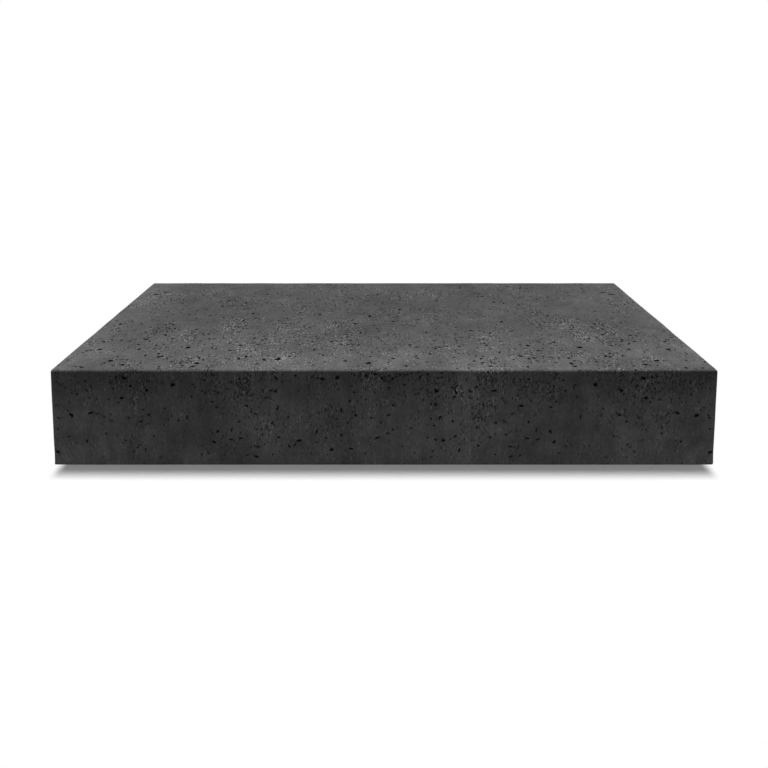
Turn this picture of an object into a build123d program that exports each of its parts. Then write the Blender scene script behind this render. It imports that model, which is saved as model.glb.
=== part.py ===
from build123d import *
import os

# A step block, cast in one piece of dense anthracite concrete. It lies on its bed face: the length
# runs along X, the riser faces -Y and the tread faces +Z. The origin is the middle of the bed face.

# Driving dimensions, in millimetres
LENGTH = 1000.0
TREAD_DEPTH = 400.0
RISER_HEIGHT = 150.0
# The arrises round the tread and down the four corners are eased, so that they don't chip underfoot.
ARRIS_RADIUS = 4.0
# The arris round the bed is tighter: it is bedded in mortar and nobody treads on it.
BED_ARRIS_RADIUS = 2.0
# Air bubbles that lay against the mould left round voids. The main ones are cut here, in two sizes.
VOID_RADIUS = 2.6
WIDE_VOID_RADIUS = 3.5

# Where the voids lie on a side seen from outside: across it as a share of half its width, and up it as
# a share of half its height, both from its middle. The end voids are alike at both ends.
RISER_END_VOIDS = [
    (0.786, 0.414), (0.711, 0.57), (0.882, 0.099), (0.502, -0.29), (0.514, -0.515), (0.413, 0.248),
    (0.385, -0.818), (0.731, -0.082), (0.757, -0.718),
]
RISER_END_WIDE_VOIDS = [(0.776, 0.831), (0.632, 0.688), (0.94, 0.052)]
RISER_MIDDLE_VOIDS = [
    (-0.323, 0.831), (-0.325, 0.553), (-0.185, 0.812), (-0.159, -0.673), (-0.086, 0.046), (-0.021, -0.427),
    (0.028, 0.261), (0.33, 0.561), (0.169, 0.015), (0.179, -0.48), (0.321, -0.414),
]
RISER_MIDDLE_WIDE_VOIDS = [(-0.14, 0.831), (-0.259, -0.494), (0.158, 0.561), (0.215, 0.536)]
TREAD_END_VOIDS = [
    (0.79, -0.643), (0.698, -0.767), (0.574, -0.886), (0.747, -0.359), (0.657, -0.247), (0.469, -0.569),
    (0.625, 0.303), (0.753, -0.143),
]
TREAD_END_WIDE_VOIDS = [(0.844, -0.843), (0.916, -0.643), (0.636, -0.608), (0.797, -0.454)]
TREAD_MIDDLE_VOIDS = [
    (-0.51, -0.055), (-0.492, 0.118), (-0.08, -0.327), (-0.176, -0.503), (-0.239, 0.096), (0.425, -0.077),
    (0.336, -0.569), (0.302, -0.81), (0.085, -0.556), (0.06, 0.215), (0.432, 0.42), (0.301, -0.271),
]
TREAD_MIDDLE_WIDE_VOIDS = [(-0.328, -0.817), (-0.046, -0.885), (-0.543, 0.393)]
BACK_VOIDS = [
    (-0.91, 0.34), (-0.79, -0.52), (-0.55, 0.05), (-0.41, -0.68), (-0.3, 0.52), (-0.04, 0.8), (0.08, -0.58),
    (0.2, 0.24), (0.43, -0.36), (0.57, 0.45), (0.8, 0.12), (0.92, 0.63),
]
BACK_WIDE_VOIDS = [(-0.66, 0.71), (-0.17, -0.2), (0.31, 0.69), (0.68, -0.74)]
RIGHT_VOIDS = [(-0.82, 0.72), (-0.58, -0.15), (-0.12, -0.66), (0.14, 0.28), (0.37, 0.76), (0.84, 0.58)]
RIGHT_WIDE_VOIDS = [(-0.33, 0.5), (0.6, -0.4)]


def mirrored(places):
    """The same places on the other end."""
    return [(-across, up) for across, up in places]


def at_both_ends(places):
    return places + mirrored(places)


# The sides that have voids, each with its width, its height, its voids and its wide voids
riser = Plane((0, -TREAD_DEPTH / 2, RISER_HEIGHT / 2), x_dir=(1, 0, 0), z_dir=(0, -1, 0))
tread = Plane((0, 0, RISER_HEIGHT), x_dir=(1, 0, 0), z_dir=(0, 0, 1))
back = Plane((0, TREAD_DEPTH / 2, RISER_HEIGHT / 2), x_dir=(-1, 0, 0), z_dir=(0, 1, 0))
right_end = Plane((LENGTH / 2, 0, RISER_HEIGHT / 2), x_dir=(0, 1, 0), z_dir=(1, 0, 0))
left_end = Plane((-LENGTH / 2, 0, RISER_HEIGHT / 2), x_dir=(0, -1, 0), z_dir=(-1, 0, 0))
sides_with_voids = [
    (
        riser, LENGTH, RISER_HEIGHT,
        at_both_ends(RISER_END_VOIDS) + RISER_MIDDLE_VOIDS,
        at_both_ends(RISER_END_WIDE_VOIDS) + RISER_MIDDLE_WIDE_VOIDS,
    ),
    (
        tread, LENGTH, TREAD_DEPTH,
        at_both_ends(TREAD_END_VOIDS) + TREAD_MIDDLE_VOIDS,
        at_both_ends(TREAD_END_WIDE_VOIDS) + TREAD_MIDDLE_WIDE_VOIDS,
    ),
    (back, LENGTH, RISER_HEIGHT, BACK_VOIDS, BACK_WIDE_VOIDS),
    (right_end, TREAD_DEPTH, RISER_HEIGHT, RIGHT_VOIDS, RIGHT_WIDE_VOIDS),
    (left_end, TREAD_DEPTH, RISER_HEIGHT, mirrored(RIGHT_VOIDS), mirrored(RIGHT_WIDE_VOIDS)),
]

with BuildPart() as step_block:
    with BuildSketch() as footprint:
        Rectangle(LENGTH, TREAD_DEPTH)
    extrude(amount=RISER_HEIGHT)
    bed_edges = step_block.edges().group_by(Axis.Z)[0]
    fillet(step_block.edges() - bed_edges, radius=ARRIS_RADIUS)
    bed_face = step_block.faces().sort_by(Axis.Z)[0]
    fillet(bed_face.edges(), radius=BED_ARRIS_RADIUS)
    for side, width, height, voids, wide_voids in sides_with_voids:
        for radius, places in ((VOID_RADIUS, voids), (WIDE_VOID_RADIUS, wide_voids)):
            points = [Location((across * width / 2, up * height / 2, 0)) for across, up in places]
            with Locations(*[side.location * point for point in points]):
                Sphere(radius, mode=Mode.SUBTRACT)

step_block.part.label = "step_block"
os.makedirs("parts", exist_ok=True)
export_step(step_block.part, "parts/step_block.step")
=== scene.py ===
import math
import random
from collections import namedtuple
from itertools import combinations, product

import bmesh
import bpy
import numpy as np
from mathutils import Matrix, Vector, noise


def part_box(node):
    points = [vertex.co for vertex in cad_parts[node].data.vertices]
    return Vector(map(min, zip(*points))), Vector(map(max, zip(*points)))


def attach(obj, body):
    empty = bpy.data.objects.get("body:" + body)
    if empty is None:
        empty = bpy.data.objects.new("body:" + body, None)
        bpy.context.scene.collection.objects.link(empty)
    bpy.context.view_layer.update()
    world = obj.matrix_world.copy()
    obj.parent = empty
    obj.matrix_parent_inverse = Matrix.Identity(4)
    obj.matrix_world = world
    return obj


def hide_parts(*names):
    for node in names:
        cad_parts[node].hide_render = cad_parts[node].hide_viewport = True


# A step block of dense anthracite concrete, cast face down in a steel mould and turned over. The packed
# solid gives its size. The casting shows what the mould left on it: open air voids, worn arrises, a
# mottled skin with streaks down the upright sides.

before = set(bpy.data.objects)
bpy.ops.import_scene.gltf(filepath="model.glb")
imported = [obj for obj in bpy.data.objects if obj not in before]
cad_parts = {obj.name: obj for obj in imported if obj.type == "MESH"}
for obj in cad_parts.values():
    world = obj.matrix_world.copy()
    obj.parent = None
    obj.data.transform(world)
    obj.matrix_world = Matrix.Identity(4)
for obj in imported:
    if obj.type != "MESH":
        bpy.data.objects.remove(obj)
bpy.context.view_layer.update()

MM = 0.001
SEED = 41

LOW, HIGH = (Vector(corner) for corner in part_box("step_block"))
SIZE = HIGH - LOW
MIDDLE = (LOW + HIGH) / 2


# The six sides: the middle of each, and the directions that run to its right and up it, seen from outside

Side = namedtuple("Side", "middle right up")

SIDES = {
    "riser": Side(Vector((MIDDLE.x, LOW.y, MIDDLE.z)), Vector((1, 0, 0)), Vector((0, 0, 1))),
    "tread": Side(Vector((MIDDLE.x, MIDDLE.y, HIGH.z)), Vector((1, 0, 0)), Vector((0, 1, 0))),
    "back": Side(Vector((MIDDLE.x, HIGH.y, MIDDLE.z)), Vector((-1, 0, 0)), Vector((0, 0, 1))),
    "left_end": Side(Vector((LOW.x, MIDDLE.y, MIDDLE.z)), Vector((0, -1, 0)), Vector((0, 0, 1))),
    "right_end": Side(Vector((HIGH.x, MIDDLE.y, MIDDLE.z)), Vector((0, 1, 0)), Vector((0, 0, 1))),
    "bed": Side(Vector((MIDDLE.x, MIDDLE.y, LOW.z)), Vector((1, 0, 0)), Vector((0, -1, 0))),
}


def outward(side):
    return side.right.cross(side.up)


def extent(direction):
    return abs(SIZE.dot(direction))


# The moulded body: a box of quads whose arrises are eased, a little unevenly

QUAD_PITCH = 14 * MM
ARRIS = 4 * MM
BED_ARRIS = 2 * MM
# The bed's rounding grows into that of the corners over this height
ARRIS_GROWTH = 3 * ARRIS
# How far the arrises waver and the faces are hollow, and over what length
ARRIS_WAVER = 1.2 * MM
WAVER_LENGTH = 45 * MM
HOLLOW = 0.25 * MM
HOLLOW_LENGTH = 160 * MM
# Rows of vertices beside each edge, as shares of the widest arris, which the rounding bends to an arc
ARRIS_ROWS = (0.18, 0.42, 0.7, 1.0)


def stations(low, high):
    """Where the quads are cut along one axis: close rows beside both edges, even ones between them."""
    widest = ARRIS + ARRIS_WAVER
    near = [low + share * widest for share in ARRIS_ROWS]
    far = [high - share * widest for share in reversed(ARRIS_ROWS)]
    count = round((far[0] - near[-1]) / QUAD_PITCH)
    between = [near[-1] + (far[0] - near[-1]) * k / count for k in range(1, count)]
    return near + between + far


def arris_radius(point):
    """The rounding at a point: tightest at the bed, and a little uneven above it."""
    rise = min(1.0, (point.z - LOW.z) / ARRIS_GROWTH)
    radius = BED_ARRIS + (ARRIS - BED_ARRIS) * rise
    return radius + ARRIS_WAVER * rise * noise.noise(point / WAVER_LENGTH)


def skin(point):
    """The point inside the block that the eased face is measured from, and how far from it that face lies."""
    radius = arris_radius(point)
    inner = Vector(min(max(p, lo + radius), hi - radius) for p, lo, hi in zip(point, LOW, HIGH))
    hollow = HOLLOW * (1 + noise.noise(point / HOLLOW_LENGTH)) / 2
    return inner, radius - hollow


def ease(point):
    """Moves a point of the sharp box onto the eased one, never outwards."""
    inner, reach = skin(point)
    return inner + (point - inner).normalized() * reach


def moulded_body():
    """The block before its voids: the sharp box cut into quads and eased."""
    body = bmesh.new()
    bmesh.ops.create_cube(body, size=1.0)
    for corner in body.verts:
        corner.co = MIDDLE + corner.co * SIZE
    for axis in range(3):
        normal = Vector((0, 0, 0))
        normal[axis] = 1
        for station in stations(LOW[axis], HIGH[axis]):
            parts = body.verts[:] + body.edges[:] + body.faces[:]
            bmesh.ops.bisect_plane(body, geom=parts, plane_co=normal * station, plane_no=normal)
    for vertex in body.verts:
        vertex.co = ease(vertex.co)
    mesh = bpy.data.meshes.new("moulded_body")
    body.to_mesh(mesh)
    body.free()
    return mesh


# The camera, as the photograph was taken, also places what was picked in it

# The photograph's width and height, in pixels, and the camera's sensor and lens, in millimetres
FRAME = 768
SENSOR = 36.0
CAMERA_LENS = 27.568
CAMERA_PITCH = math.radians(5.176)
CAMERA_SHIFT = -0.3139
# How far the camera stands in front of the riser and above the bed, in metres
CAMERA_DISTANCE = 0.8439
CAMERA_HEIGHT = 0.5671
CAMERA_AT = Vector((MIDDLE.x, LOW.y - CAMERA_DISTANCE, LOW.z + CAMERA_HEIGHT))
FORWARD = Vector((0, math.cos(CAMERA_PITCH), -math.sin(CAMERA_PITCH)))
UPWARD = Vector((0, math.sin(CAMERA_PITCH), math.cos(CAMERA_PITCH)))


def seen_on(side, column, row, way=1):
    """The point of a side that shows at a pixel, or, with the way -1, its twin at the other end."""
    focal = CAMERA_LENS / SENSOR * FRAME
    across = way * (column - FRAME / 2) / focal
    down = (row - FRAME * (0.5 + CAMERA_SHIFT)) / focal
    ray = FORWARD + across * Vector((1, 0, 0)) - down * UPWARD
    return CAMERA_AT + ray * ((side.middle - CAMERA_AT).dot(outward(side)) / ray.dot(outward(side)))


# Air voids: bubbles held against the mould, open where they met it

Void = namedtuple("Void", "at out along length width depth")

# The voids that stand out in the photograph: pixel column and row, length, width and depth in millimetres,
# and the turn of the length from level, in degrees. The lists of the ends hold at both ends alike.
RISER_END_VOIDS = (
    (124.4, 378.2, 6.4, 5.2, 3.5, 0), (115.6, 377.2, 5.5, 3.2, 2, 10), (110, 383, 4.4, 3.2, 1.6, 80),
    (110, 376.6, 3.4, 2.8, 1.6, 0), (112.8, 388.7, 3.6, 3.2, 2.5, 0), (121.8, 398, 6.4, 4.4, 3.5, 20),
    (117.8, 402.3, 4.2, 2.8, 1.8, 0), (130.3, 386, 4.4, 3.6, 2, 60), (146.6, 390.6, 6, 4.6, 3, 30),
    (172.7, 385, 7.6, 4.8, 4, 35), (204.5, 380.4, 4.4, 2.8, 2.5, 0), (211.8, 401.8, 4, 3.4, 3, 0),
    (202.2, 390.9, 3.6, 3, 3, 0), (71.5, 415.2, 7, 4.8, 3.5, -35), (90.6, 413, 8.4, 4, 3, 20),
    (97.5, 413.6, 9, 3, 1, -10), (104, 416.4, 9, 3, 0.8, -30), (111, 421, 7, 4, 1, -40),
    (128.9, 417.8, 4.4, 3.2, 1.6, 0), (141.3, 421.6, 4.6, 3.6, 2.2, 0), (148.5, 414.7, 6, 4.4, 1.5, 0),
    (187.2, 416.8, 7.6, 2.8, 1.8, 90), (217.5, 431.5, 6.4, 3.8, 3, 70), (214, 442.2, 5.4, 4.2, 3.5, 0),
    (230.7, 439.7, 5.6, 3, 2.2, -20), (231.7, 429.8, 6.2, 3.2, 2, 80), (238.9, 421.8, 4.6, 3.4, 1.8, 40),
    (106.1, 433.6, 4, 3.2, 1.6, 0), (86.9, 441.8, 4.6, 3.2, 2, 0), (125.1, 440.4, 5.8, 2.6, 1.9, -25),
    (153.9, 436.2, 4, 3.2, 1.6, 60), (138, 447, 4, 3.2, 1.6, 0), (133.8, 451.8, 5, 3.4, 1.6, 60),
    (57.9, 452.2, 6, 4.6, 3.5, -20), (58.3, 418, 3.6, 3.2, 2, 0), (58, 429, 3.6, 3, 2, 0),
    (246.5, 405.9, 5.4, 4, 3.5, 0), (255.5, 413.8, 7, 2.8, 1.8, -25), (240.7, 438.4, 8, 3, 2.2, 5),
    (257.5, 446.8, 9, 2.8, 2.4, 0), (256.7, 456.6, 7, 4.2, 2, -10), (239.5, 379, 4, 3.4, 2.4, 0),
    (102.8, 457, 7, 4, 0.7, 0), (161.8, 457, 4.6, 5.4, 0.8, 0), (90.6, 376.5, 5, 2.4, 1.2, 20),
    (108.5, 399.4, 5, 3.4, 1.3, 0), (89, 397.9, 3.6, 3.6, 1.2, 0), (96.9, 399.3, 3.6, 3.4, 1.2, 0),
)
RISER_MIDDLE_VOIDS = (
    (276, 378.2, 6.6, 4, 3, -55), (276.8, 380.6, 4.6, 2.4, 2.2, 85), (272.3, 374.2, 3.6, 3, 2, 0),
    (275.5, 391.4, 5, 4.2, 3, 80), (270.6, 390.6, 6, 2.8, 2, 0), (322.3, 379.1, 6.4, 4.6, 3, 0),
    (337.1, 378.2, 7, 5.2, 3, 20), (295.3, 375.7, 4.4, 3.4, 2.5, 0), (308.6, 384.7, 5.2, 2.6, 1.4, 0),
    (265.2, 397.9, 4, 3.4, 1.4, 40), (278, 407.6, 8, 3, 1.7, 90), (271.9, 422.8, 4.6, 3.8, 2.5, 50),
    (262.4, 434.7, 4.6, 3, 1.6, 0), (278.3, 437.3, 6.4, 3.6, 2.2, -10), (298.8, 440.8, 8.4, 4.4, 3.5, 12),
    (295, 445, 7, 2.8, 2.5, 52), (289.2, 446.1, 6, 3, 2, -50), (316.7, 431.8, 9, 3.6, 2, 85),
    (312.1, 432.3, 5.4, 2.6, 1.2, 90), (331.5, 449.7, 5.8, 4.4, 3, 0), (351.4, 448.7, 5.4, 4.2, 2.5, 0),
    (341.7, 435.4, 5, 4.2, 2, 80), (355.5, 415.5, 5.6, 4.2, 2.5, -60), (349.8, 401, 6.8, 3.2, 2.4, 75),
    (341.4, 410.2, 7.4, 2.8, 2.2, 88), (377, 438, 8, 3.6, 2.2, 30), (382, 378.4, 5.6, 4, 2.5, -20),
    (375.4, 374.2, 6, 4, 2.5, -10), (365.7, 375.7, 5.4, 3.4, 2, -15), (371.3, 417.8, 4.4, 3.6, 2, 0),
    (365.7, 399.2, 4.2, 3.4, 1.4, 0), (387.8, 433.4, 6.4, 3, 2.2, -8), (388.6, 414.9, 8, 3, 2.2, 30),
    (393.3, 405.3, 4.6, 3.8, 2, 60), (392.8, 378.8, 5.4, 4, 2.5, 30), (436.6, 391, 7, 5.2, 3.5, -30),
    (455.8, 392.2, 8.6, 4.2, 3, -65), (470.3, 391.5, 6.4, 4, 2.5, -35), (494.3, 391, 9.2, 3.4, 3, 8),
    (436.1, 404.8, 5.4, 4.2, 2.5, 40), (440.2, 417, 6.4, 4.2, 2.5, 40), (452.4, 421.1, 5, 4.2, 2, 30),
    (443.3, 440.5, 6, 4.4, 2.5, 0), (436.1, 440, 5, 3.8, 2, 0), (455.5, 436.4, 4.6, 3.8, 2, 0),
    (459.1, 450.7, 5, 4.2, 2.5, 90), (478.5, 446.1, 5.4, 3.8, 2, 45), (490.2, 437.4, 6, 3.8, 2, 15),
    (420.3, 377.2, 5.4, 3, 1.8, 85), (441.7, 373.1, 4.4, 3.4, 2, 0), (466.7, 379.8, 6.4, 2.8, 1.6, 75),
    (488.2, 372.4, 4, 3, 2, 0), (418.5, 372.2, 6, 3, 1.6, 0),
)
TREAD_END_VOIDS = (
    (111, 360.7, 8, 5.2, 3, 0), (122.2, 364.6, 6.6, 4.6, 2.5, 20), (100.3, 349.3, 8, 5, 2.5, 0),
    (139.1, 349.3, 5.6, 4.6, 2.5, 0), (188.4, 347.4, 8.4, 6.2, 4, 0), (145.8, 339.5, 5.2, 4.2, 3, 30),
    (162, 356.1, 6, 5, 3, 20), (158.3, 353.6, 5, 4, 2, 0), (158.3, 356.6, 4.6, 4, 2, 0),
    (145.2, 355.4, 5.4, 4, 2, 0), (196.7, 363.3, 6, 5, 4, 0), (193, 366.3, 7, 4.2, 2.5, 0),
    (165.6, 334.7, 5.4, 5, 2.5, 0), (82.2, 367.6, 4.6, 4, 2.5, 60), (156.4, 345.4, 4.6, 4, 2, 0),
    (171.7, 361.5, 5.4, 4, 1.6, 20), (103.4, 341.6, 5.4, 4.6, 2, 0), (172.8, 324.6, 4.8, 5, 2, 0),
    (166, 324.7, 4.4, 4.4, 1.6, 0), (199.3, 358, 5.4, 4.6, 2, 20), (167.1, 370.6, 7, 4, 1.8, 0),
    (196.2, 329.2, 5, 5, 3, 0), (222.5, 306.2, 9, 3.4, 1.6, 10), (240.8, 345.3, 5.4, 5.4, 3, 0),
    (229.9, 350.5, 6, 4.4, 2.2, 0), (246.3, 356.2, 5, 4.4, 2.5, 20), (238.8, 358.6, 4.6, 4.4, 2, 0),
    (157, 294.2, 12, 5, 2, 0), (165.5, 292.4, 9, 5, 2, 40),
)
TREAD_MIDDLE_VOIDS = (
    (278.4, 359.1, 8.4, 7, 4, 0), (264.3, 359.1, 5.4, 4.6, 2, 0), (254.6, 338, 5.4, 5, 2, 0),
    (243.4, 320.7, 5.4, 5.4, 3, 0), (252.7, 313.5, 5.4, 5.4, 3, 0), (245.7, 302.9, 6, 6, 2, 0),
    (369, 363.2, 8, 6.6, 2.5, 30), (345.5, 360.9, 5, 4.6, 2.5, 0), (360.8, 333.1, 5, 5, 2.5, 0),
    (347, 334.4, 11, 3.6, 1.6, 0), (331, 341.7, 6, 5, 2, 20), (358.5, 345, 5.4, 5, 2, 0),
    (314.4, 349.7, 5.4, 5, 2, 0), (354.9, 323.5, 5.4, 5.4, 2.5, 0), (370.2, 316.3, 6, 6, 2, 0),
    (289.2, 356.2, 5.4, 4.4, 2, 20), (320, 314.4, 5.4, 6, 2, 0), (501.8, 321.7, 5.4, 6, 2.5, 0),
    (486.5, 345.3, 5.4, 5, 2.2, 0), (480.8, 358.7, 5, 4.4, 2.5, 0), (483.3, 362.5, 5, 4, 2, -40),
    (490.7, 366.1, 6, 4, 2, -40), (554.1, 341.8, 7, 3, 2.5, 80), (454.4, 357.1, 6, 3, 2, 80),
    (393.4, 358.4, 5.4, 4.4, 2, 0), (406.1, 365.7, 5, 4, 2.5, 0), (410, 344.6, 8, 4, 1.6, 0),
    (417, 346.9, 8, 4, 1.6, 0), (446.3, 346.2, 6, 4, 1.6, 0), (470.6, 330.4, 7, 4, 1.6, 0),
    (399.8, 309.6, 5.4, 5.4, 2, 0), (493.5, 301.9, 5.4, 5.4, 2, 0), (519, 305.1, 8, 3, 1.6, 85),
    (390, 371, 8, 3.4, 1.6, 0), (533.4, 371, 4.4, 3.4, 1.6, 0), (510.1, 370, 4.4, 3, 1.4, 0),
)
# Smaller ones on the riser: dots, with their width, and dashes that run down it, with their length
RISER_END_DOTS = (
    (211.7, 374, 3.4), (231.5, 382.2, 3), (192.5, 384.8, 2.8), (191.2, 396.6, 3), (217.9, 392.8, 3),
    (208.6, 453.2, 3.2), (247.5, 455.2, 3.4), (77, 394.4, 3.2), (164.5, 408.6, 3), (140.2, 444.7, 3),
    (216.8, 407.3, 3.4), (144, 393.9, 3), (143, 409.6, 2.8), (145.9, 448.8, 2.8),
)
RISER_MIDDLE_DOTS = (
    (358.8, 376.3, 3.2), (360.6, 373, 3), (396.3, 376.8, 3.2), (400.3, 375.2, 3.4), (389.1, 387.9, 3.6),
    (353.8, 392.6, 3.4), (381.1, 422.3, 3.2), (347.6, 423.1, 3.2), (336.4, 419.1, 3), (392.9, 429.8, 3.4),
    (414.5, 453.2, 3), (428, 437.6, 3), (326.2, 438.2, 3.2), (321.2, 426.3, 2.8), (411, 428.4, 3),
    (260.8, 379, 3.2), (268.7, 430.6, 3), (267.4, 426.6, 3), (272.9, 454.2, 3.2), (288.2, 416.9, 3.2),
    (262.6, 389.9, 3), (457.1, 385.8, 3.2), (451.6, 387.4, 3), (453.8, 397.3, 3.8), (431, 404.4, 3.4),
    (483, 404.6, 3), (474.1, 418.6, 3.2), (478.3, 418.3, 3.2), (426.9, 390.1, 3.2), (407.1, 374.6, 3.2),
    (411.6, 373.7, 3.2), (427.6, 374.5, 3.6), (438.4, 378, 3.2), (441.5, 377.6, 3.2), (404.1, 384.8, 3.2),
    (486.2, 379.6, 3.2), (476.8, 387.4, 3.8), (469.2, 398.2, 3), (502.4, 397.9, 3.2), (496, 422.7, 4),
    (506.2, 434.6, 3.2), (495.1, 454.4, 3.2), (431.2, 457, 3), (433, 451.2, 3), (433.9, 425.6, 3.2),
    (338.2, 389.4, 2.8),
)
RISER_END_DASHES = (
    (194.4, 387.4, 6), (225.4, 396.6, 5), (234.5, 392.4, 4.6), (246.6, 389.6, 4.4), (247.3, 380.4, 7),
    (232, 414.2, 5.4), (202.1, 446, 4.4), (136.4, 381.9, 4), (147, 380.6, 6), (161.8, 380.6, 4),
    (78.2, 382.8, 6), (69.4, 402.1, 4.4), (64.1, 407.5, 4.4), (67.4, 410.2, 5), (115.4, 398, 4.6),
    (134.2, 403.6, 5), (133.4, 396.8, 5),
)
RISER_MIDDLE_DASHES = (
    (355.6, 382.5, 5), (393.5, 397.6, 4.4), (398.5, 393.8, 5.4), (365.5, 453.8, 6), (402.1, 446.6, 4.6),
    (427.5, 425.8, 5.6), (423.4, 399.8, 5), (418.6, 411.4, 5), (327.6, 430.2, 4.6), (310.1, 416.4, 6),
    (325.8, 410.4, 6), (313.6, 376, 6), (420.4, 389.6, 5), (281.7, 382, 5.4), (489.7, 405.3, 4.4),
    (408.6, 379.6, 5), (460.8, 434.8, 4), (479.6, 414.2, 4.4), (481.8, 395.6, 4.4), (477.7, 399.6, 5),
    (471.9, 408.2, 5), (460.8, 423.8, 6), (490.9, 376.4, 4.4), (506.7, 378, 5), (505.8, 402.8, 8),
)
# A dot's length and depth as shares of its width, and a dash's width, depth and turn
DOT_LENGTH = 1.25
DOT_DEPTH = 0.55
DASH_WIDTH = 2.6
DASH_DEPTH = 1.6
DASH_TURN = 86
# The main voids of the back and the ends: across and up as shares of half the side, and the width in
# millimetres
BACK_VOIDS = (
    (-0.91, 0.34, 5.2), (-0.79, -0.52, 5.2), (-0.55, 0.05, 5.2), (-0.41, -0.68, 5.2), (-0.3, 0.52, 5.2),
    (-0.04, 0.8, 5.2), (0.08, -0.58, 5.2), (0.2, 0.24, 5.2), (0.43, -0.36, 5.2), (0.57, 0.45, 5.2),
    (0.8, 0.12, 5.2), (0.92, 0.63, 5.2), (-0.66, 0.71, 7), (-0.17, -0.2, 7), (0.31, 0.69, 7),
    (0.68, -0.74, 7),
)
RIGHT_END_VOIDS = (
    (-0.82, 0.72, 5.2), (-0.58, -0.15, 5.2), (-0.12, -0.66, 5.2), (0.14, 0.28, 5.2), (0.37, 0.76, 5.2),
    (0.84, 0.58, 5.2), (-0.33, 0.5, 7), (0.6, -0.4, 7),
)
# The lengths and widths above are those of the dark core. The opening has these shares of them on each side.
OPENING = {"riser": (1.08, 1.08), "tread": (0.92, 1.18)}
# A picked void is ragged where smaller bubbles joined it at its rim: how many, their width as a share of its
# own, how far out they lie, as a share of its length and width, and their length as a share of their width
JOINED_BUBBLES = (1, 1, 2, 2, 3)
JOINED_SHARE = (0.35, 0.6)
JOINED_OFFSET = 0.48
JOINED_LENGTH = 1.4


def ragged(void, luck):
    """A void and the smaller bubbles that joined it."""
    group = [void]
    across = void.out.cross(void.along)
    for _ in range(luck.choice(JOINED_BUBBLES)):
        share = luck.uniform(*JOINED_SHARE)
        way = luck.uniform(0, 2 * math.pi)
        turned = math.cos(way) * void.along + math.sin(way) * across
        rim = math.cos(way) * void.length * void.along + math.sin(way) * void.width * across
        size = share * void.width
        length, depth = JOINED_LENGTH * size, min(size, void.depth)
        group.append(Void(void.at + JOINED_OFFSET * rim, void.out, turned, length, size, depth))
    return group


def small_voids(dots, dashes):
    """Dots and dashes, written out as the rows of the other lists are."""
    rows = [(column, row, DOT_LENGTH * width, width, DOT_DEPTH * width, 0) for column, row, width in dots]
    rows += [(column, row, length, DASH_WIDTH, DASH_DEPTH, DASH_TURN) for column, row, length in dashes]
    return rows


def picked_voids(luck):
    """The voids whose places were picked, each with the bubbles that joined it."""
    lists = (
        ("riser", RISER_END_VOIDS, (1, -1)), ("riser", RISER_MIDDLE_VOIDS, (1,)),
        ("tread", TREAD_END_VOIDS, (1, -1)), ("tread", TREAD_MIDDLE_VOIDS, (1,)),
        ("riser", small_voids(RISER_END_DOTS, RISER_END_DASHES), (1, -1)),
        ("riser", small_voids(RISER_MIDDLE_DOTS, RISER_MIDDLE_DASHES), (1,)),
    )
    found = []
    for name, rows, ways in lists:
        side = SIDES[name]
        longer, wider = OPENING[name]
        for (column, row, length, width, depth, turn), way in product(rows, ways):
            angle = math.radians(way * turn)
            along = math.cos(angle) * side.right + math.sin(angle) * side.up
            size = (longer * length * MM, wider * width * MM, depth * MM)
            found += ragged(Void(seen_on(side, column, row, way), outward(side), along, *size), luck)
    for name, rows, way in (
        ("back", BACK_VOIDS, 1), ("right_end", RIGHT_END_VOIDS, 1), ("left_end", RIGHT_END_VOIDS, -1),
    ):
        side = SIDES[name]
        for across, up, width in rows:
            off = way * across * extent(side.right) * side.right + up * extent(side.up) * side.up
            size = (width * MM, width * MM, width / 2 * MM)
            found += ragged(Void(side.middle + off / 2, outward(side), side.right, *size), luck)
    return found


# Where something may lie along a side, in shares of its length from its middle
EDGE_TO_EDGE = (-0.5, 0.5)
# Small chips out of the arrises: how many to the metre, and from what size to what size, in millimetres
CHIPS_PER_METRE = 14
CHIP_LENGTH = (2.5, 8.0)
CHIP_WIDTH = (2.0, 3.6)
CHIP_DEPTH = (0.4, 1.3)


def arris_chips(luck):
    """Chips along each arris, where two sides meet."""
    found = []
    for one, other in combinations(SIDES.values(), 2):
        along = outward(one).cross(outward(other))
        if not along.length:
            continue
        corner = one.middle + other.middle - MIDDLE
        out = (outward(one) + outward(other)).normalized()
        face = corner - out * ARRIS * (math.sqrt(2) - 1)
        for _ in range(round(CHIPS_PER_METRE * extent(along))):
            at = face + along * luck.uniform(*EDGE_TO_EDGE) * extent(along)
            size = [luck.uniform(*span) * MM for span in (CHIP_LENGTH, CHIP_WIDTH, CHIP_DEPTH)]
            found.append(Void(at, out, along, *size))
    return found


# The other voids: how many to the square metre, and the width of the widest in millimetres, on each side
OTHER_VOIDS = {
    "riser": (800, 3.4), "tread": (6800, 4.6), "back": (3600, 4.6),
    "left_end": (3600, 4.6), "right_end": (3600, 4.6), "bed": (300, 4.6),
}
SMALLEST_VOID = 1.9 * MM
# Their length and depth, from what share of their width to what share
OTHER_LENGTH = (1.0, 1.8)
OTHER_DEPTH = (0.35, 0.9)
# How fast voids get rarer with width: doubling the width leaves about one in six
VOID_STEEPNESS = 2.6
# Voids and specks lie in drifts: the sizes of the drifts in millimetres and how much each one counts
DRIFTS = ((160, 0.2), (50, 0.4))
DRIFT_MEAN = 0.44
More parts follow.
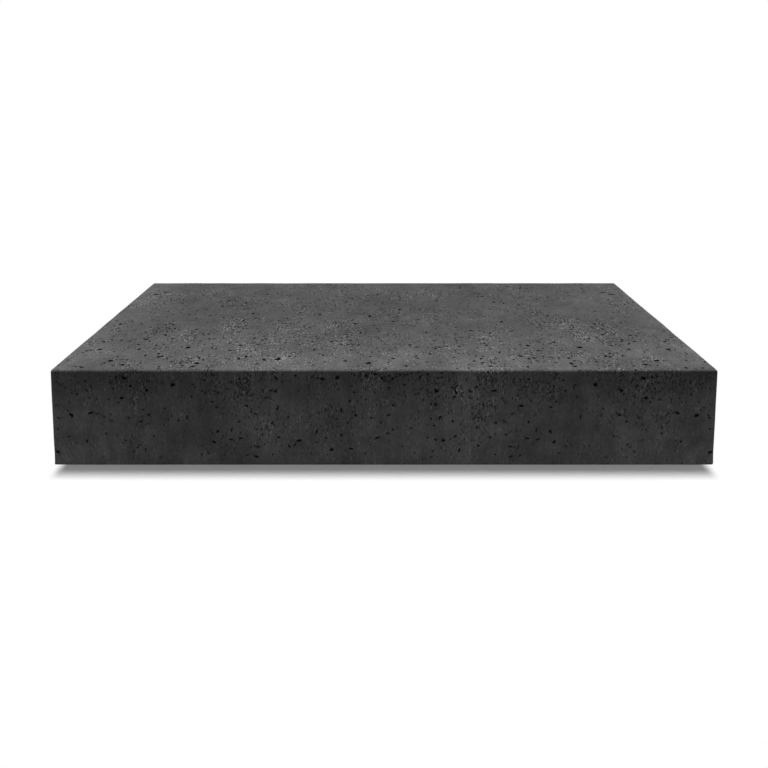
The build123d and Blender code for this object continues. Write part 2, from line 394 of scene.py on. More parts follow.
# Clumps and calm patches that stand out in the photograph: pixel column and row, half the width and half the
# height in millimetres, and how much more or less pitted they are. The lists of the ends hold at both ends
# alike.
RISER_END_CLUMPS = (
    (240, 383, 26, 22, 0.45), (215, 391, 16, 22, 0.35), (268, 428, 14, 12, 0.4), (150, 386, 18, 16, 0.3),
    (118, 380, 18, 12, 0.4), (100, 414, 22, 12, 0.3),
)
RISER_MIDDLE_CLUMPS = (
    (455, 389, 20, 30, 0.5), (472, 410, 30, 42, 0.5), (487, 379, 20, 18, 0.5), (438, 412, 14, 24, 0.4),
    (316, 380, 16, 18, 0.35), (320, 414, 36, 24, 0.25), (389, 403, 24, 18, 0.3), (378, 377, 50, 12, 0.5),
    (450, 447, 24, 14, 0.3), (288, 398, 55, 50, -0.35),
)
TREAD_END_CLUMPS = (
    (161, 329, 26, 32, 0.55), (189, 336, 30, 36, 0.6), (142, 336, 20, 24, 0.35), (120, 359, 18, 18, 0.3),
    (99, 342, 20, 18, 0.3), (166, 356, 18, 14, 0.3), (187, 361, 18, 14, 0.3), (136, 355, 26, 22, -0.3),
    (189, 309, 60, 60, -0.4), (125, 318, 40, 50, -0.3), (84, 362, 45, 40, -0.4),
)
TREAD_MIDDLE_CLUMPS = (
    (238, 325, 26, 42, 0.55), (264, 340, 22, 22, 0.35), (302, 334, 26, 26, 0.5), (345, 325, 32, 28, 0.5),
    (350, 342, 22, 22, 0.35), (243, 353, 20, 20, 0.35), (288, 353, 20, 16, 0.35), (309, 309, 18, 40, 0.3),
    (337, 295, 26, 40, 0.3), (238, 301, 22, 32, 0.3), (530, 352, 28, 26, 0.45), (575, 353, 20, 20, 0.35),
    (538, 327, 22, 26, 0.5), (506, 329, 22, 32, 0.45), (564, 321, 22, 32, 0.5), (399, 353, 18, 16, 0.3),
    (418, 342, 20, 16, 0.3), (485, 340, 20, 16, 0.3), (491, 361, 18, 14, 0.3), (429, 319, 18, 32, 0.3),
    (405, 301, 22, 36, 0.3), (433, 295, 26, 40, 0.3), (495, 297, 26, 40, 0.3), (594, 312, 18, 22, 0.35),
    (613, 306, 18, 26, 0.3), (530, 310, 22, 26, 0.3), (475, 327, 45, 40, -0.35),
    (465, 345, 24, 20, -0.25), (560, 338, 18, 16, -0.25), (437, 361, 26, 18, -0.25),
    (206, 325, 26, 30, -0.3), (410, 330, 40, 30, -0.25), (645, 362, 50, 26, -0.4),
    (282, 366, 40, 14, -0.4), (185, 364, 40, 12, -0.35),
)
# How far a clump reaches into the block, in millimetres
CLUMP_THICKNESS = 8
# Voids crowd towards the front and the top: how much more of them stay there than at the back and the foot,
# and the least that stay anywhere
FRONT_CROWD = 0.35
TOP_CROWD = 0.35
LEAST_CROWD = 0.1
# Voids are few beside the arrises, where the paste was densest: how near, and the share of them that stays
ARRIS_MARGIN = 6 * MM
ARRIS_SHARE = 0.35


def picked_clumps():
    """Each clump's middle, one over its three half sizes, and its gain."""
    lists = (
        ("riser", RISER_END_CLUMPS, (1, -1)), ("riser", RISER_MIDDLE_CLUMPS, (1,)),
        ("tread", TREAD_END_CLUMPS, (1, -1)), ("tread", TREAD_MIDDLE_CLUMPS, (1,)),
    )
    found = []
    for name, rows, ways in lists:
        side = SIDES[name]
        for (column, row, half_width, half_height, gain), way in product(rows, ways):
            halves = half_width * side.right + half_height * side.up + CLUMP_THICKNESS * outward(side)
            shape = Vector([1 / (abs(half) * MM) for half in halves])
            found.append((seen_on(side, column, row, way), shape, gain))
    return found


CLUMPS = picked_clumps()


def drift(point):
    """How pitted the skin is here, from 0 to 1."""
    level = DRIFT_MEAN + sum(weight * noise.noise(point / (size * MM)) for size, weight in DRIFTS)
    for middle, shape, gain in CLUMPS:
        level += gain * max(0.0, 1 - ((point - middle) * shape).length_squared)
    return min(1.0, max(0.0, level))


def crowd(point):
    """The chance that a void stays here."""
    front = FRONT_CROWD * (MIDDLE.y - point.y) / SIZE.y
    top = TOP_CROWD * (point.z - MIDDLE.z) / SIZE.z
    return min(1.0, max(LEAST_CROWD, drift(point) + front + top))


def other_voids(name, luck):
    """The voids strewn over one side, thickest where it is most pitted."""
    side = SIDES[name]
    wide, high = extent(side.right), extent(side.up)
    per_m2, widest = OTHER_VOIDS[name]
    rarest = (SMALLEST_VOID / (widest * MM)) ** VOID_STEEPNESS
    found = []
    while len(found) < per_m2 * wide * high:
        across = luck.uniform(*EDGE_TO_EDGE) * wide
        upward = luck.uniform(*EDGE_TO_EDGE) * high
        at = side.middle + across * side.right + upward * side.up
        to_arris = min(wide / 2 - abs(across), high / 2 - abs(upward))
        if luck.random() > crowd(at) * (ARRIS_SHARE if to_arris < ARRIS_MARGIN else 1.0):
            continue
        width = SMALLEST_VOID * luck.uniform(rarest, 1.0) ** (-1 / VOID_STEEPNESS)
        turn = luck.uniform(0, math.pi)
        along = math.cos(turn) * side.right + math.sin(turn) * side.up
        length = width * luck.uniform(*OTHER_LENGTH)
        depth = width * luck.uniform(*OTHER_DEPTH)
        found.append(Void(at, outward(side), along, length, width, depth))
    return found


# Bubbles, as points and triangles: the face is at height 0 and the bottom at -1. Small ones are plain pits,
# wider ones are spheres that sink a little, so that their walls start steep.

PIT_SIDES = 7
PIT_LIP = 0.3
SINK = 0.3
ROUND_FROM = 3.0 * MM
SMOOTH_FROM = 4.6 * MM
# A bubble is pulled out of round by a few swellings: how many, the share of its size that they add to, how
# much each one adds, how narrow it is, and how far it may point up or down
SWELLINGS = 3
SWELL_FROM = 0.95
SWELL_REACH = (0.1, 0.4)
SWELL_NARROWNESS = 3
SWELL_TILT = 0.5
# Within its layer, a bubble keeps this share of its length clear round its middle
LAYER_REACH = 0.7


def pit():
    """A small bubble: a cone with its lid above the face."""
    turns = np.arange(PIT_SIDES) * 2 * math.pi / PIT_SIDES
    ring = np.column_stack([np.cos(turns), np.sin(turns), np.zeros(PIT_SIDES)]) * (1 + PIT_LIP)
    ring[:, 2] = PIT_LIP
    walls = [(k, PIT_SIDES, (k + 1) % PIT_SIDES) for k in range(PIT_SIDES)]
    lid = [(0, k, k + 1) for k in range(1, PIT_SIDES - 1)]
    return np.vstack([ring, (0, 0, -1)]), np.array(walls + lid)


def sphere(steps):
    """A wider bubble: a ball whose middle lies below the face."""
    ball = bmesh.new()
    bmesh.ops.create_icosphere(ball, subdivisions=steps, radius=1.0)
    points = np.array([vertex.co[:] for vertex in ball.verts])
    triangles = np.array([[vertex.index for vertex in face.verts] for face in ball.faces])
    ball.free()
    points[:, 2] = (points[:, 2] - SINK) / (1 + SINK)
    return points, triangles


SMALL, ROUND, SMOOTH = pit(), sphere(1), sphere(2)


def bubble(void, luck):
    """The points and triangles of one bubble in place, pulled out of round by a few swellings."""
    points, triangles = SMOOTH if void.width > SMOOTH_FROM else ROUND if void.width > ROUND_FROM else SMALL
    swell = np.full(len(points), SWELL_FROM)
    for _ in range(SWELLINGS):
        way = Vector((luck.gauss(0, 1), luck.gauss(0, 1), luck.gauss(0, SWELL_TILT))).normalized()
        swell += luck.uniform(*SWELL_REACH) * np.maximum(points @ np.array(way), 0) ** SWELL_NARROWNESS
    shaped = points * swell[:, None] * (void.length / 2, void.width / 2, void.depth)
    axes = np.array((void.along, void.out.cross(void.along), void.out))
    return np.array(void.at) + shaped @ axes, triangles


def in_layers(voids):
    """Shares the voids out so that none meets another of its own layer, which keeps each cut clean."""
    layers = []
    for void in sorted(voids, key=lambda one: -one.length):
        place = np.array(void.at)
        reach = LAYER_REACH * void.length
        for layer in layers:
            gaps = np.linalg.norm(np.array(layer["places"]) - place, axis=1)
            if (gaps > np.array(layer["reaches"]) + reach).all():
                break
        else:
            layer = {"voids": [], "places": [], "reaches": []}
            layers.append(layer)
        layer["voids"].append(void)
        layer["places"].append(place)
        layer["reaches"].append(reach)
    return [layer["voids"] for layer in layers]


def bubbles_object(voids, luck):
    """The bubbles of one layer, as one object to cut with."""
    points, triangles, count = [], [], 0
    for void in voids:
        some, faces = bubble(void, luck)
        points.append(some)
        triangles.append(faces + count)
        count += len(some)
    mesh = bpy.data.meshes.new("air_bubbles")
    mesh.from_pydata(np.concatenate(points), [], np.concatenate(triangles))
    bubbles = bpy.data.objects.new("air_bubbles", mesh)
    bpy.context.collection.objects.link(bubbles)
    return bubbles


def cut_voids(mesh, voids, luck):
    """The body with every bubble taken out of it, as one closed mesh."""
    blank = bpy.data.objects.new("blank", mesh)
    bpy.context.collection.objects.link(blank)
    spent = [blank]
    for layer in in_layers(voids):
        bubbles = bubbles_object(layer, luck)
        cut = blank.modifiers.new("cut", "BOOLEAN")
        cut.operation = "DIFFERENCE"
        cut.solver = "MANIFOLD"
        cut.object = bubbles
        spent.append(bubbles)
    whole = bpy.data.meshes.new_from_object(blank.evaluated_get(bpy.context.evaluated_depsgraph_get()))
    for item in spent:
        old = item.data
        bpy.data.objects.remove(item)
        bpy.data.meshes.remove(old)
    return whole


def mark_points(mesh):
    """Keeps how deep each point lies under the eased faces and how pitted it is there, for the material."""
    depths, drifts = [], []
    for vertex in mesh.vertices:
        inner, reach = skin(vertex.co)
        depths.append(max(0.0, reach - (vertex.co - inner).length))
        drifts.append(drift(vertex.co))
    for name, values in (("void_depth", depths), ("drift", drifts)):
        mesh.attributes.new(name, "FLOAT", "POINT").data.foreach_set("value", values)


# Where each side starts in the texture square and how large it is there: the tread below, the upright sides
# in rows over it, and the bed, drawn small, on top
TEXTURE_GAP = 6 * MM
TEXTURE_MARGIN = 10 * MM
TEXTURE_SQUARE = SIZE.x + TEXTURE_MARGIN
BED_SCALE = 0.32
OVER_TREAD = SIZE.y + TEXTURE_GAP
ONE_ROW = SIZE.z + TEXTURE_GAP
TEXTURE_PLACES = {
    "tread": (0, 0, 1), "riser": (0, OVER_TREAD, 1), "back": (0, OVER_TREAD + ONE_ROW, 1),
    "left_end": (0, OVER_TREAD + 2 * ONE_ROW, 1), "right_end": (OVER_TREAD, OVER_TREAD + 2 * ONE_ROW, 1),
    "bed": (0, OVER_TREAD + 3 * ONE_ROW, BED_SCALE),
}
TEXTURE_MAP = "OFBake"


def unfold(mesh):
    """Lays every polygon straight onto its nearest side's place in the texture square."""
    uses = np.empty(len(mesh.loops), int)
    mesh.loops.foreach_get("vertex_index", uses)
    points = np.empty(len(mesh.vertices) * 3)
    mesh.vertices.foreach_get("co", points)
    points = points.reshape(-1, 3)
    middles = np.empty(len(mesh.polygons) * 3)
    mesh.polygons.foreach_get("center", middles)
    corners = np.empty(len(mesh.polygons), int)
    mesh.polygons.foreach_get("loop_total", corners)
    gaps = [(middles.reshape(-1, 3) - side.middle) @ np.array(outward(side)) for side in SIDES.values()]
    nearest = np.repeat(np.argmax(gaps, axis=0), corners)
    places = np.zeros((len(uses), 2))
    for index, (name, side) in enumerate(SIDES.items()):
        here = nearest == index
        column, row, scale = TEXTURE_PLACES[name]
        for axis, (way, start) in enumerate(((side.right, column), (side.up, row))):
            along = (points[uses[here]] - side.middle) @ np.array(way) + extent(way) / 2
            places[here, axis] = (start + scale * along) / TEXTURE_SQUARE
    mesh.uv_layers.new(name=TEXTURE_MAP).data.foreach_set("uv", places.ravel())


SHARP = math.radians(32)


def step_block_cast():
    """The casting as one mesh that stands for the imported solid."""
    luck = random.Random(SEED)
    voids = picked_voids(luck) + arris_chips(luck)
    for name in SIDES:
        voids += other_voids(name, luck)
    mesh = cut_voids(moulded_body(), voids, luck)
    mesh.name = "step_block_cast"
    mark_points(mesh)
    unfold(mesh)
    mesh.shade_smooth()
    mesh.set_sharp_from_angle(angle=SHARP)
    piece = bpy.data.objects.new("step_block_cast", mesh)
    bpy.context.collection.objects.link(piece)
    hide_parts("step_block")
    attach(piece, "root")
    return piece


# Materials

def linear(hex_colour):
    """An sRGB hex colour as linear red, green and blue, with full alpha."""
    parts = [int(hex_colour[k : k + 2], 16) / 255 for k in (0, 2, 4)]
    return [p / 12.92 if p <= 0.04045 else ((p + 0.055) / 1.055) ** 2.4 for p in parts] + [1.0]


def node(tree, kind, settings=None, inputs=None, output=0):
    """Adds a node with its settings, links each input that is a socket, and returns one of its outputs."""
    made = tree.nodes.new("ShaderNode" + kind)
    for key, value in (settings or {}).items():
        setattr(made, key, value)
    for key, value in (inputs or {}).items():
        if isinstance(value, bpy.types.NodeSocket):
            tree.links.new(value, made.inputs[key])
        else:
            made.inputs[key].default_value = value
    return made.outputs[output] if made.outputs else None


def new_tree(owner):
    owner.use_nodes = True
    owner.node_tree.nodes.clear()
    return owner.node_tree


PASTE = "575757"
# Patterns in the paste: their width and length in millimetres, octaves, and how far they dim and lighten.
# Clouds lie alike all ways. Grit and sand are strewn as the specks are, and are drawn coarser than life, to
# show. Runs and dashes go down the upright sides. Sand and dashes keep to the drifts.
CLOUDS = ((110, 110, 3, 0.15), (34, 34, 3, 0.16), (11, 11, 2, 0.08))
GRIT = ((2.6, 2.6, 2, 0.21),)
SAND = ((2.6, 2.6, 2, 0.34),)
RUNS = ((75, 420, 2, 0.08), (24, 45, 2, 0.16), (8, 50, 2, 0.1), (2.4, 7, 2, 0.12))
DASHES = ((2.2, 9, 2, 0.58),)
# The noise that they are made of keeps mostly between these values
NOISE_LOW = 0.3
NOISE_HIGH = 0.7
# Broad patches that stand out in the photograph: how far across and up the side from its middle, half the
# patch's width and half its height, all in millimetres, and its tone
PATCHES = {
    "riser": (
        # Along the riser's foot, the long patch and the two at its ends are painted light that lifts the
        # foot.
        (122, 0, 60, 200, 1.18), (122, 60, 75, 60, 1.42), (-255, -45, 90, 60, 0.8),
        (250, -45, 90, 60, 0.81), (-470, -80, 140, 45, 1.25), (470, -80, 140, 45, 1.28),
        (-265, 10, 50, 40, 0.9), (262, 5, 60, 55, 0.85), (-430, 70, 170, 45, 0.76),
        (430, 70, 170, 45, 0.75), (-470, -5, 75, 75, 0.87), (0, -80, 900, 45, 1.14),
        (-25, 15, 95, 95, 1.21), (-333, 5, 55, 55, 1.1),
    ),
    "tread": (
        (-470, 140, 100, 150, 1.24), (460, 170, 110, 110, 1.14), (-310, 90, 110, 120, 0.9),
        (0, 60, 120, 90, 0.95), (-40, -60, 90, 60, 0.92), (-333, 0, 80, 100, 0.94),
        (55, 110, 130, 80, 0.93), (333, -55, 90, 60, 1.11), (-340, -73, 45, 45, 1.08),
        (-258, -15, 42, 48, 1.09), (-306, -25, 28, 30, 0.92), (222, 20, 70, 70, 1.05),
        (150, 0, 250, 45, 1.06), (-490, 60, 70, 220, 1.1), (100, -190, 80, 45, 0.88),
        (215, -110, 80, 55, 0.89), (-440, -35, 80, 70, 1.12), (190, 5, 110, 60, 1.08),
        (0, -125, 60, 40, 0.93), (434, -130, 50, 40, 0.93), (-430, -170, 110, 60, 1.1),
        (430, -180, 90, 50, 1.06),
    ),
}
# How far a patch reaches into the block, in millimetres
PATCH_THICKNESS = 60
# The tread is a little darker than the paste, and painted paler towards its edges as painted light: how far
# in from each side, in millimetres, and how much
TREAD_TONE = 0.91
PAINTED_LIGHT_MARGINS = {"riser": (230, 1.4), "left_end": (90, 1.22), "right_end": (80, 1.16), "back": (40, 1.05)}
# The upright sides are painted darker under the top arris, as painted shade: over what height, in
# millimetres, and how much
PAINTED_TOP_SHADE = (60, 0.81)
# A face counts as upright while its normal rises or falls by less than this
UPRIGHT_LEAN = 0.6
# Specks: pinholes and pale sand grains, this far apart in millimetres. They are drawn a little larger than
# life, to show, and stretched where the squeeze is below 1: from front to back on the tread, which is seen at
# a low angle, and up and down on the upright sides.
SPECK = 2.1
TREAD_SQUEEZE = (1.2, 0.7, 1)
UPRIGHT_SQUEEZE = (1.3, 1.3, 0.5)
# A speck is a round dot with a soft edge: its outside and its core, as shares of the spacing
SPECK_EDGE = 0.6
SPECK_CORE = 0.35
# The drifts are broken up into finer ones, this wide in millimetres. Specks begin at one level of drift and
# are thickest at another.
FINE_DRIFT = 14
FINE_DRIFT_OCTAVES = 3
FINE_DRIFT_REACH = 1.4
BUSY_FROM = 0.33
BUSY_TO = 1.1
# How busy they are at the foot and the top of the upright sides, and at the back and the front of the tread
UPRIGHT_BUSY = (0.1, 1.5)
TREAD_BUSY = (0.85, 1.2)
# How many of the specks are pinholes and how many are grains where they are thickest, and their tones. The
# pinholes' dark tone is painted shade in holes too fine to cut.
PINHOLE_SHARE = 0.44
PINHOLE_PAINTED_SHADE = 0.03
GRAIN_SHARE = 0.37
GRAIN_TONE = 2.65
UPRIGHT_GRAIN_TONE = 1.9
# Voids are painted darker, as painted shade, from just under the face to this depth, in millimetres
VOID_SHADE_FROM = 0.15
VOID_SHADE_TO = 1.4
VOID_PAINTED_SHADE = 0.14
# The paste's relief follows its tones: its strength, its depth in millimetres, and what a pinhole adds to it
RELIEF = 0.5
RELIEF_DEPTH = 0.5
PINHOLE_RELIEF = -2.0
# The skin's roughness and specular level
DULL = 0.88
SHINE = 0.12


def how_busy(tree, place, upright):
    """How thickly the specks are strewn: the drifts, broken up, and more towards the front and the top."""
    parts = node(tree, "SeparateXYZ", None, {0: place}).node.outputs
    busy = node(tree, "Attribute", {"attribute_name": "drift"}, None, "Fac")
    patchy = node(tree, "TexNoise", None, {
        "Vector": place, "Scale": 1 / (FINE_DRIFT * MM), "Detail": FINE_DRIFT_OCTAVES,
    })
    patchy = node(tree, "Math", {"operation": "SUBTRACT"}, {0: patchy, 1: (NOISE_LOW + NOISE_HIGH) / 2})
    busy = node(tree, "Math", {"operation": "MULTIPLY_ADD"}, {0: patchy, 1: FINE_DRIFT_REACH, 2: busy})
    busy = node(tree, "MapRange", None, {"Value": busy, "From Min": BUSY_FROM, "From Max": BUSY_TO})
    rise = node(tree, "MapRange", None, {
        "Value": parts["Z"], "From Min": LOW.z, "From Max": HIGH.z,
        "To Min": UPRIGHT_BUSY[0], "To Max": UPRIGHT_BUSY[1],
    })
    front = node(tree, "MapRange", None, {
        "Value": parts["Y"], "From Min": HIGH.y, "From Max": LOW.y,
        "To Min": TREAD_BUSY[0], "To Max": TREAD_BUSY[1],
    })
    busier = node(tree, "Mix", {"data_type": "FLOAT"}, {0: upright, 2: front, 3: rise})
    return node(tree, "Math", {"operation": "MULTIPLY"}, {0: busy, 1: busier})


def specks(tree, strewn, busy):
    """Where the pinholes and where the grains are, each from 0 to 1."""
    cells = node(tree, "TexVoronoi", None, {"Vector": strewn, "Scale": 1 / (SPECK * MM)}).node.outputs
    chance = node(tree, "SeparateXYZ", None, {0: cells["Color"]}, "X")
    dot = node(tree, "MapRange", None, {
        "Value": cells["Distance"], "From Min": SPECK_EDGE, "From Max": SPECK_CORE,
    })
    hole_limit = node(tree, "Math", {"operation": "MULTIPLY"}, {0: busy, 1: PINHOLE_SHARE})
    pinholes = node(tree, "Math", {"operation": "LESS_THAN"}, {0: chance, 1: hole_limit})
    pinholes = node(tree, "Math", {"operation": "MULTIPLY"}, {0: pinholes, 1: dot})
    grain_limit = node(tree, "Math", {"operation": "MULTIPLY_ADD"}, {0: busy, 1: -GRAIN_SHARE, 2: 1.0})
    grains = node(tree, "Math", {"operation": "GREATER_THAN"}, {0: chance, 1: grain_limit})
    grains = node(tree, "Math", {"operation": "MULTIPLY"}, {0: grains, 1: dot})
    return pinholes, grains


def pattern_tones(tree, patterns, where, share=1.0):
    """A tone for each pattern, which swings about 1 by a share of the pattern's reach."""
    tones = []
    for width, length, octaves, reach in patterns:
        shape = (1 / (width * MM), 1 / (width * MM), 1 / (length * MM))
        along = node(tree, "VectorMath", {"operation": "MULTIPLY"}, {0: where, 1: shape})
        pattern = node(tree, "TexNoise", None, {"Vector": along, "Scale": 1.0, "Detail": octaves})
        swing = node(tree, "MapRange", None, {
            "Value": pattern, "From Min": NOISE_LOW, "From Max": NOISE_HIGH,
            "To Min": -reach, "To Max": reach,
        })
        tones.append(node(tree, "Math", {"operation": "MULTIPLY_ADD"}, {0: swing, 1: share, 2: 1.0}))
    return tones


def patch_tones(tree, place):
    """A tone for each broad patch, which fades to 1 at its rim."""
    tones = []
    for name, rows in PATCHES.items():
        side = SIDES[name]
        for across, up, half_width, half_height, gain in rows:
            middle = side.middle + (across * side.right + up * side.up) * MM
            halves = half_width * side.right + half_height * side.up + PATCH_THICKNESS * outward(side)
            shape = [1 / (abs(half) * MM) for half in halves]
            off = node(tree, "VectorMath", {"operation": "SUBTRACT"}, {0: place, 1: middle})
            off = node(tree, "VectorMath", {"operation": "MULTIPLY"}, {0: off, 1: shape})
            off = node(tree, "VectorMath", {"operation": "LENGTH"}, {0: off}, "Value")
            tones.append(node(tree, "MapRange", {"interpolation_type": "SMOOTHSTEP"}, {
                "Value": off, "From Min": 1.0, "From Max": 0.0, "To Min": 1.0, "To Max": gain,
            }))
    return tones


def edge_light_and_shade(tree, place, margins):
    """A tone for each side that fades from there, over its margin, to 1: painted light where the tone is
    above 1, painted shade where it is below.
    """
    tones = []
    for name, (reach, gain) in margins.items():
        out = outward(SIDES[name])
        edge = SIDES[name].middle.dot(out)
        across = node(tree, "VectorMath", {"operation": "DOT_PRODUCT"}, {0: place, 1: out}, "Value")
        tones.append(node(tree, "MapRange", {"interpolation_type": "SMOOTHSTEP"}, {
            "Value": across, "From Min": edge - reach * MM, "From Max": edge, "To Min": 1.0, "To Max": gain,
        }))
    return tones


def anthracite_concrete():
    """Through-coloured concrete cast against steel: a dull, close skin, cloudy where the paste settled, with
    runs down the upright sides, drifts of pinholes and pale sand, and dark air voids. The darkness of the
    voids and pinholes is painted shade, as are the upright sides' darker tops; the tread's paler edges and
    the riser's paler foot are painted light."""
    material = bpy.data.materials.new("anthracite_concrete")
    tree = new_tree(material)
    place = node(tree, "TexCoord", output="Object")
    facing = node(tree, "NewGeometry", output="True Normal")
    level = node(tree, "SeparateXYZ", None, {0: facing}, "Z")
    level = node(tree, "Math", {"operation": "ABSOLUTE"}, {0: level})
    upright = node(tree, "Math", {"operation": "LESS_THAN"}, {0: level, 1: UPRIGHT_LEAN})
    squeeze = node(tree, "Mix", {"data_type": "VECTOR"}, {
        0: upright, 4: TREAD_SQUEEZE, 5: UPRIGHT_SQUEEZE,
    }, 1)
    strewn = node(tree, "VectorMath", {"operation": "MULTIPLY"}, {0: place, 1: squeeze})
    busy = how_busy(tree, place, upright)
    pinholes, grains = specks(tree, strewn, busy)
    depth = node(tree, "Attribute", {"attribute_name": "void_depth"}, None, "Fac")

    everywhere = pattern_tones(tree, CLOUDS, place)
    everywhere += pattern_tones(tree, GRIT, strewn)
    everywhere += patch_tones(tree, place)
    # Painted shade: the pinholes are near black
    everywhere.append(node(tree, "MapRange", None, {
        "Value": pinholes, "To Min": 1.0, "To Max": PINHOLE_PAINTED_SHADE,
    }))
    # Painted shade: the voids darken with their depth under the face
    everywhere.append(node(tree, "MapRange", None, {
        "Value": depth, "From Min": VOID_SHADE_FROM * MM, "From Max": VOID_SHADE_TO * MM,
        "To Min": 1.0, "To Max": VOID_PAINTED_SHADE,
    }))
    on_tread = [TREAD_TONE]
    on_tread += pattern_tones(tree, SAND, strewn, busy)
    # Painted light: the tread paler towards its edges
    on_tread += edge_light_and_shade(tree, place, PAINTED_LIGHT_MARGINS)
    on_uprights = pattern_tones(tree, RUNS, place)
    on_uprights += pattern_tones(tree, DASHES, place, busy)
    # Painted shade: the upright sides darker under the top arris
    on_uprights += edge_light_and_shade(tree, place, {"tread": PAINTED_TOP_SHADE})
    for tones, brightest in ((on_tread, GRAIN_TONE), (on_uprights, UPRIGHT_GRAIN_TONE)):
        tones.append(node(tree, "MapRange", None, {"Value": grains, "To Min": 1.0, "To Max": brightest}))

    products = []
    for tones in (everywhere, on_tread, on_uprights):
        so_far = tones[0]
        for tone in tones[1:]:
            so_far = node(tree, "Math", {"operation": "MULTIPLY"}, {0: so_far, 1: tone})
        products.append(so_far)
    shared, tread, uprights = products
    sided = node(tree, "Mix", {"data_type": "FLOAT"}, {0: upright, 2: tread, 3: uprights})
    tone = node(tree, "Math", {"operation": "MULTIPLY"}, {0: shared, 1: sided})
    colour = node(tree, "Mix", {"data_type": "RGBA", "blend_type": "MULTIPLY"}, {
        0: 1.0, 6: linear(PASTE), 7: tone,
    }, 2)
    relief = node(tree, "Math", {"operation": "MULTIPLY_ADD"}, {0: pinholes, 1: PINHOLE_RELIEF, 2: sided})
    bump = node(tree, "Bump", None, {"Strength": RELIEF, "Distance": RELIEF_DEPTH * MM, "Height": relief})
    concrete = node(tree, "BsdfPrincipled", None, {
        "Base Color": colour, "Roughness": DULL, "Specular IOR Level": SHINE, "Normal": bump,
    })
    node(tree, "OutputMaterial", None, {"Surface": concrete})
    return material


# The stage: a pale floor that keeps the block's shadow, a white surround, a soft lamp overhead and low strips
# round the block

WHITE = "ffffff"
# How far the floor reaches past the block, in metres, the tone of the light that it throws back, and how much
# its shadow is lifted
FLOOR_MARGIN = 0.38
FLOOR_BOUNCE = "707070"
SHADOW_LIFT = 0.075
# The shadow fades out at the block's ends: where that starts and stops, measured in from the ends
FADE_FROM = 22 * MM
FADE_TO = 2 * MM
# How much light the surround gives
SURROUND = 0.17


def seen_straight(tree):
    """1 for rays from the camera, and for those that a shine or a clear thing shows, else 0."""
    path = node(tree, "LightPath").node.outputs
    shine = node(tree, "Math", {"operation": "MAXIMUM"}, {
        0: path["Is Glossy Ray"], 1: path["Is Transmission Ray"],
    })
    return node(tree, "Math", {"operation": "MAXIMUM"}, {0: path["Is Camera Ray"], 1: shine})


def pale_floor():
    material = bpy.data.materials.new("pale_floor")
    tree = new_tree(material)
    bounce = node(tree, "BsdfDiffuse", None, {"Color": linear(FLOOR_BOUNCE)})
    white = node(tree, "BsdfDiffuse", None, {"Color": linear(WHITE)})
    lift = node(tree, "Emission", None, {"Color": linear(WHITE), "Strength": SHADOW_LIFT})
    shown = node(tree, "AddShader", None, {0: white, 1: lift})
    place = node(tree, "TexCoord", output="Object")
    along = node(tree, "SeparateXYZ", None, {0: place}, "X")
    along = node(tree, "Math", {"operation": "ABSOLUTE"}, {0: along})
    fade = node(tree, "MapRange", {"interpolation_type": "SMOOTHSTEP"}, {
        "Value": along, "From Min": HIGH.x - FADE_FROM, "From Max": HIGH.x - FADE_TO,
    })
    bare = node(tree, "Emission", None, {"Color": linear(WHITE), "Strength": 1.0})
    shown = node(tree, "MixShader", None, {0: fade, 1: shown, 2: bare})
    mixed = node(tree, "MixShader", None, {0: seen_straight(tree), 1: bounce, 2: shown})
    node(tree, "OutputMaterial", None, {"Surface": mixed})
    reach = SIZE / 2 + Vector((FLOOR_MARGIN, FLOOR_MARGIN, 0))
    corners = [(x * reach.x, y * reach.y, LOW.z) for x, y in ((-1, -1), (1, -1), (1, 1), (-1, 1))]
    mesh = bpy.data.meshes.new("floor")
    mesh.from_pydata(corners, [], [(0, 1, 2, 3)])
    mesh.materials.append(material)
    floor = bpy.data.objects.new("floor", mesh)
    bpy.context.collection.objects.link(floor)


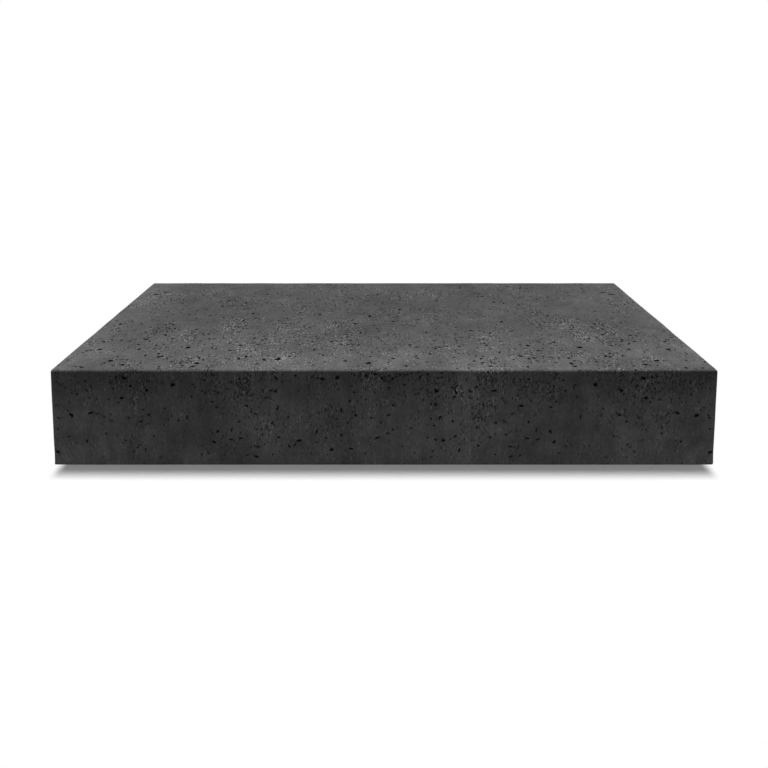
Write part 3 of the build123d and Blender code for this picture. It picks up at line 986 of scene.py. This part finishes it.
def white_surround():
    world = bpy.data.worlds.new("white_surround")
    tree = new_tree(world)
    dim = node(tree, "Background", None, {"Color": linear(WHITE), "Strength": SURROUND})
    white = node(tree, "Background", None, {"Color": linear(WHITE), "Strength": 1.0})
    mixed = node(tree, "MixShader", None, {0: seen_straight(tree), 1: dim, 2: white})
    node(tree, "OutputWorld", None, {"Surface": mixed})
    bpy.context.scene.world = world


# The soft overhead light comes from a little behind, so that the shadow shows as a band in front of the riser
OVERHEAD_LEVEL = 0.83
OVERHEAD_TILT = math.radians(9.4)
OVERHEAD_SPREAD = math.radians(11.5)
# Low strips stand round the block, near the floor, and lift its upright sides. Their places and sizes are in
# metres.
STRIP_DISTANCE = 0.13
STRIP_HEIGHT = 0.02
STRIP_OVERHANG = 0.35
STRIP_WIDTH = 0.03
STRIP_WATTS_PER_METRE = 0.1165


def add_lamp(data, at, turn):
    lamp = bpy.data.objects.new(data.name, data)
    lamp.location = at
    lamp.rotation_euler = turn
    lamp.visible_camera = False
    bpy.context.collection.objects.link(lamp)


def studio_lamps():
    overhead = bpy.data.lights.new("overhead_light", "SUN")
    overhead.energy = OVERHEAD_LEVEL * math.pi
    overhead.angle = OVERHEAD_SPREAD
    add_lamp(overhead, (0, 0, 1), (-OVERHEAD_TILT, 0, 0))
    for name in ("riser", "back", "left_end", "right_end"):
        side = SIDES[name]
        out = outward(side)
        strip = bpy.data.lights.new(name + "_strip", "AREA")
        strip.shape = "RECTANGLE"
        strip.size = extent(side.right) + 2 * STRIP_OVERHANG
        strip.size_y = STRIP_WIDTH
        strip.energy = STRIP_WATTS_PER_METRE * strip.size
        at = side.middle + out * STRIP_DISTANCE
        at.z = LOW.z + STRIP_HEIGHT
        add_lamp(strip, at, (math.pi / 2, 0, math.atan2(out.y, out.x) + math.pi / 2))


def photo_camera():
    data = bpy.data.cameras.new("photo_camera")
    data.lens = CAMERA_LENS
    data.sensor_width = SENSOR
    data.shift_y = CAMERA_SHIFT
    camera = bpy.data.objects.new("photo_camera", data)
    camera.location = CAMERA_AT
    camera.rotation_euler = (math.pi / 2 - CAMERA_PITCH, 0, 0)
    bpy.context.collection.objects.link(camera)
    bpy.context.scene.camera = camera


block = step_block_cast()
block.data.materials.clear()
block.data.materials.append(anthracite_concrete())
pale_floor()
white_surround()
studio_lamps()
photo_camera()
bpy.context.scene.view_settings.view_transform = "Standard"
